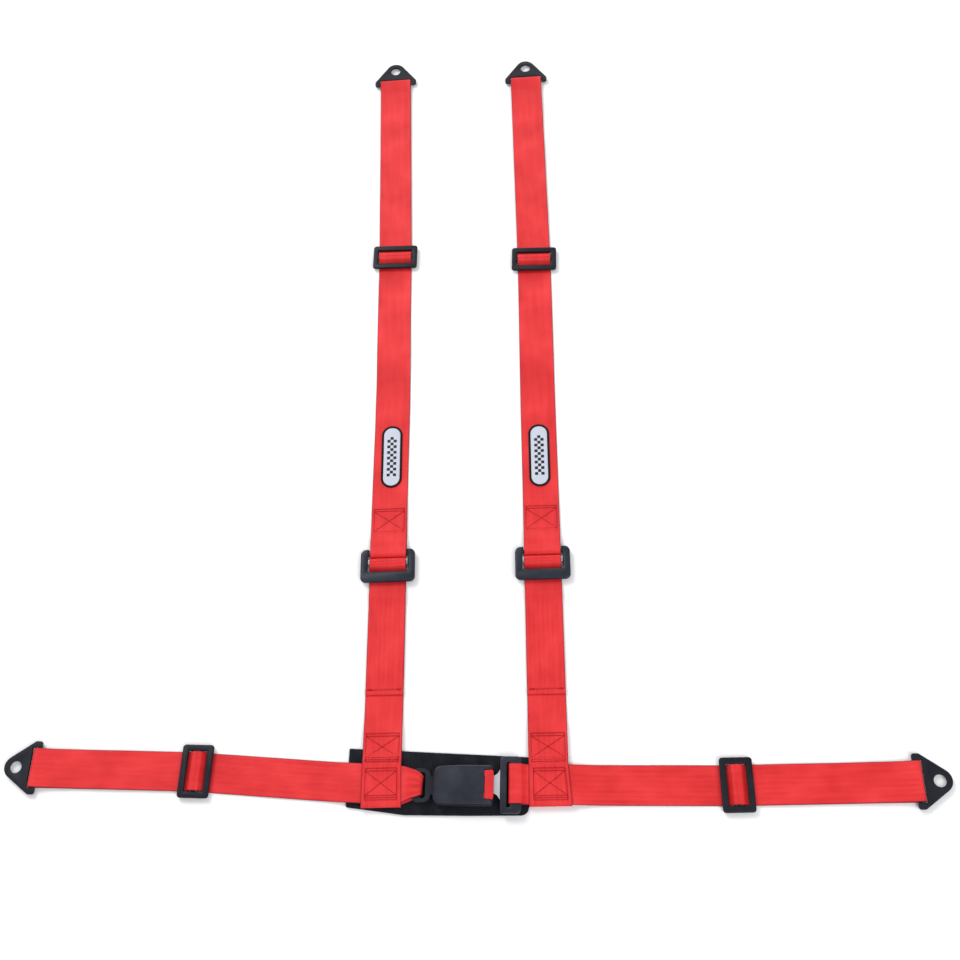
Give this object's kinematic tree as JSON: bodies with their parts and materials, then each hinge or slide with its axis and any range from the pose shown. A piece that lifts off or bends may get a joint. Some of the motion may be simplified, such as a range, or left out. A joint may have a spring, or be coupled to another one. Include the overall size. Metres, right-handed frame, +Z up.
{
  "type": "racing harness",
  "caption": "Four-point racing harness with bolt-in anchor plates, three-bar slides, tilt-lock shoulder adjusters, a push-button buckle and a wide pad under it.",
  "frame": {"origin": "middle of the outline, on the surface that the harness lies on", "axes": "+Z up, +Y up the shoulder straps towards their anchor plates, +X towards the lap strap that carries the tongue"},
  "size_m": [1.1468, 1.1888, 0.0195],
  "materials": {
    "webbing": "satin woven polyester",
    "pad_webbing": "ribbed woven nylon",
    "coated_steel": "black satin powder coat",
    "casing": "fine moulded grain",
    "button": "satin red",
    "bright_steel": "plated",
    "bare_steel": "plain",
    "badge_border": "embroidered black edge",
    "badge_face": "silver woven face"
  },
  "bodies": {
    "buckle_side": {"buckle_pad": "pad_webbing", "buckle_lower_cover": "casing", "buckle_upper_cover": "casing", "buckle_frame": "coated_steel", "buckle_screws": "bare_steel", "button_springs": "bare_steel", "latch_pin": "bare_steel", "latch_spring": "bare_steel", "ejector_spring": "bare_steel", "lap_strap_l": "webbing", "lower_strap_l": "webbing"},
    "press_button": {"press_button": "button"},
    "latch": {"latch": "bare_steel"},
    "ejector": {"ejector": "casing"},
    "tongue_side": {"tongue_blade": "bright_steel", "tongue_cover": "casing", "lap_strap_r": "webbing", "lower_strap_r": "webbing"},
    "shoulder_left": {"shoulder_strap_l": "webbing", "badge_border_l": "badge_border", "badge_face_l": "badge_face"},
    "tail_left": {"tail_l": "webbing"},
    "adjuster_left": {"adjuster_frame_l": "coated_steel", "adjuster_bar_l": "bare_steel", "adjuster_wrap_l": "webbing"},
    "shoulder_slide_left": {"shoulder_slide_l": "coated_steel"},
    "shoulder_loop_left": {"shoulder_loop_strap_l": "webbing"},
    "shoulder_plate_left": {"shoulder_plate_l": "coated_steel"},
    "lap_slide_left": {"lap_slide_l": "coated_steel"},
    "lap_loop_left": {"lap_loop_strap_l": "webbing"},
    "lap_plate_left": {"lap_plate_l": "coated_steel"},
    "shoulder_right": {"shoulder_strap_r": "webbing", "badge_border_r": "badge_border", "badge_face_r": "badge_face"},
    "tail_right": {"tail_r": "webbing"},
    "adjuster_right": {"adjuster_frame_r": "coated_steel", "adjuster_bar_r": "bare_steel", "adjuster_wrap_r": "webbing"},
    "shoulder_slide_right": {"shoulder_slide_r": "coated_steel"},
    "shoulder_loop_right": {"shoulder_loop_strap_r": "webbing"},
    "shoulder_plate_right": {"shoulder_plate_r": "coated_steel"},
    "lap_slide_right": {"lap_slide_r": "coated_steel"},
    "lap_loop_right": {"lap_loop_strap_r": "webbing"},
    "lap_plate_right": {"lap_plate_r": "coated_steel"}
  },
  "joints": [
    {"name": "button_press", "type": "slide", "parent": "buckle_side", "child": "press_button", "axis": [-1, 0, 0], "range_m": [0, 0.004], "stiffness_N_per_m": 1500, "deforming": ["button_springs"]},
    {"name": "latch_lift", "type": "hinge", "parent": "buckle_side", "child": "latch", "pos_m": [-0.0215, -0.56, 0.0127], "axis": [0, -1, 0], "range_deg": [0, 5], "deforming": ["latch_spring"]},
    {"name": "tongue_release", "type": "slide", "parent": "buckle_side", "child": "tongue_side", "axis": [1, 0, 0], "range_m": [0, 0.08]},
    {"name": "ejector_push", "type": "slide", "parent": "buckle_side", "child": "ejector", "axis": [1, 0, 0], "range_m": [0, 0.0055], "deforming": ["ejector_spring"]},
    {"name": "shoulder_adjust_left", "type": "slide", "parent": "buckle_side", "child": "shoulder_left", "axis": [-0.0272, 0.9996, 0], "range_m": [-0.02, 0.1], "deforming": ["lower_strap_l"]},
    {"name": "tail_run_left", "type": "slide", "parent": "shoulder_left", "child": "tail_left", "axis": [-0.0272, 0.9996, 0], "range_m": [-0.02, 0.1], "deforming": ["tail_l"]},
    {"name": "adjuster_tilt_left", "type": "hinge", "parent": "shoulder_left", "child": "adjuster_left", "pos_m": [-0.10896, -0.25881, 0.0043], "axis": [-0.9995, -0.0331, 0], "range_deg": [0, 35], "deforming": ["adjuster_wrap_l"]},
    {"name": "shoulder_slide_left", "type": "slide", "parent": "shoulder_left", "child": "shoulder_slide_left", "axis": [-0.0331, 0.9995, 0], "range_m": [-0.15, 0.15], "deforming": ["shoulder_strap_l"]},
    {"name": "shoulder_loop_left", "type": "slide", "parent": "shoulder_slide_left", "child": "shoulder_loop_left", "axis": [-0.051, 0.9987, 0], "range_m": [-0.075, 0.075], "deforming": ["shoulder_loop_strap_l"]},
    {"name": "shoulder_plate_left", "type": "hinge", "parent": "shoulder_loop_left", "child": "shoulder_plate_left", "pos_m": [-0.14211, 0.55653, 0.0043], "axis": [0.9987, 0.051, 0], "range_deg": [-60, 60]},
    {"name": "lap_slide_left", "type": "slide", "parent": "buckle_side", "child": "lap_slide_left", "axis": [-0.998, 0.0629, 0], "range_m": [-0.09, 0.09], "deforming": ["lap_strap_l"]},
    {"name": "lap_loop_left", "type": "slide", "parent": "lap_slide_left", "child": "lap_loop_left", "axis": [-0.9999, 0.0153, 0], "range_m": [-0.045, 0.045], "deforming": ["lap_loop_strap_l"]},
    {"name": "lap_plate_left", "type": "hinge", "parent": "lap_loop_left", "child": "lap_plate_left", "pos_m": [-0.5355, -0.54156, 0.0043], "axis": [0.0153, 0.9999, 0], "range_deg": [-60, 60]},
    {"name": "shoulder_adjust_right", "type": "slide", "parent": "tongue_side", "child": "shoulder_right", "axis": [-0.0274, 0.9996, 0], "range_m": [-0.02, 0.1], "deforming": ["lower_strap_r"]},
    {"name": "tail_run_right", "type": "slide", "parent": "shoulder_right", "child": "tail_right", "axis": [-0.0274, 0.9996, 0], "range_m": [-0.02, 0.1], "deforming": ["tail_r"]},
    {"name": "adjuster_tilt_right", "type": "hinge", "parent": "shoulder_right", "child": "adjuster_right", "pos_m": [0.09324, -0.25581, 0.0043], "axis": [-0.9996, -0.0273, 0], "range_deg": [0, 35], "deforming": ["adjuster_wrap_r"]},
    {"name": "shoulder_slide_right", "type": "slide", "parent": "shoulder_right", "child": "shoulder_slide_right", "axis": [-0.0273, 0.9996, 0], "range_m": [-0.15, 0.15], "deforming": ["shoulder_strap_r"]},
    {"name": "shoulder_loop_right", "type": "slide", "parent": "shoulder_slide_right", "child": "shoulder_loop_right", "axis": [-0.0409, 0.9992, 0], "range_m": [-0.075, 0.075], "deforming": ["shoulder_loop_strap_r"]},
    {"name": "shoulder_plate_right", "type": "hinge", "parent": "shoulder_loop_right", "child": "shoulder_plate_right", "pos_m": [0.06636, 0.55442, 0.0043], "axis": [0.9992, 0.0409, 0], "range_deg": [-60, 60]},
    {"name": "lap_slide_right", "type": "slide", "parent": "tongue_side", "child": "lap_slide_right", "axis": [1, 0.0067, 0], "range_m": [-0.09, 0.09], "deforming": ["lap_strap_r"]},
    {"name": "lap_loop_right", "type": "slide", "parent": "lap_slide_right", "child": "lap_loop_right", "axis": [0.9996, 0.0285, 0], "range_m": [-0.045, 0.045], "deforming": ["lap_loop_strap_r"]},
    {"name": "lap_plate_right", "type": "hinge", "parent": "lap_loop_right", "child": "lap_plate_right", "pos_m": [0.53551, -0.54987, 0.0043], "axis": [0.0285, -0.9996, 0], "range_deg": [-60, 60]}
  ],
  "couplings": [
    {"joint": "latch_lift", "follows": "button_press", "rad_per_m": 21.38},
    {"joint": "ejector_push", "follows": "tongue_release", "ratio": 0.0675},
    {"joint": "tail_run_left", "follows": "shoulder_adjust_left", "ratio": 1},
    {"joint": "shoulder_loop_left", "follows": "shoulder_slide_left", "ratio": -0.5},
    {"joint": "lap_loop_left", "follows": "lap_slide_left", "ratio": -0.5},
    {"joint": "tail_run_right", "follows": "shoulder_adjust_right", "ratio": 1},
    {"joint": "shoulder_loop_right", "follows": "shoulder_slide_right", "ratio": -0.5},
    {"joint": "lap_loop_right", "follows": "lap_slide_right", "ratio": -0.5}
  ]
}
